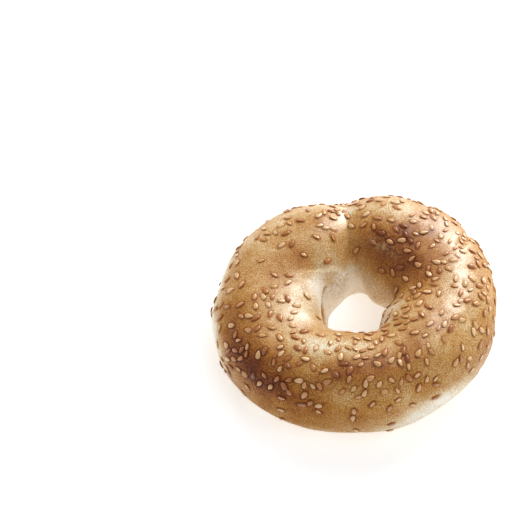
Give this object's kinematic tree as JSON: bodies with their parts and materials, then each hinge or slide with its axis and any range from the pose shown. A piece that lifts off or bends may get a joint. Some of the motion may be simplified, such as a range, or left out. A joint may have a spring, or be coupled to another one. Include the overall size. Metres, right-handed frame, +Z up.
{
  "type": "bagel",
  "caption": "Hand-rolled sesame bagel: an uneven ring of crusted dough with a pinched seam, a through hole and a flat underside",
  "frame": {"origin": "on the surface the bagel rests on, under the middle of its box", "axes": "+Z up out of the crust's top, +X along the longest width, -Y towards the side facing the viewer, with the pinched seam at +Y"},
  "size_m": [0.1006, 0.0902, 0.0359],
  "materials": {
    "crust": "satin",
    "sesame": "satin"
  },
  "bodies": {
    "root": {"bagel": "crust"}
  },
  "joints": []
}
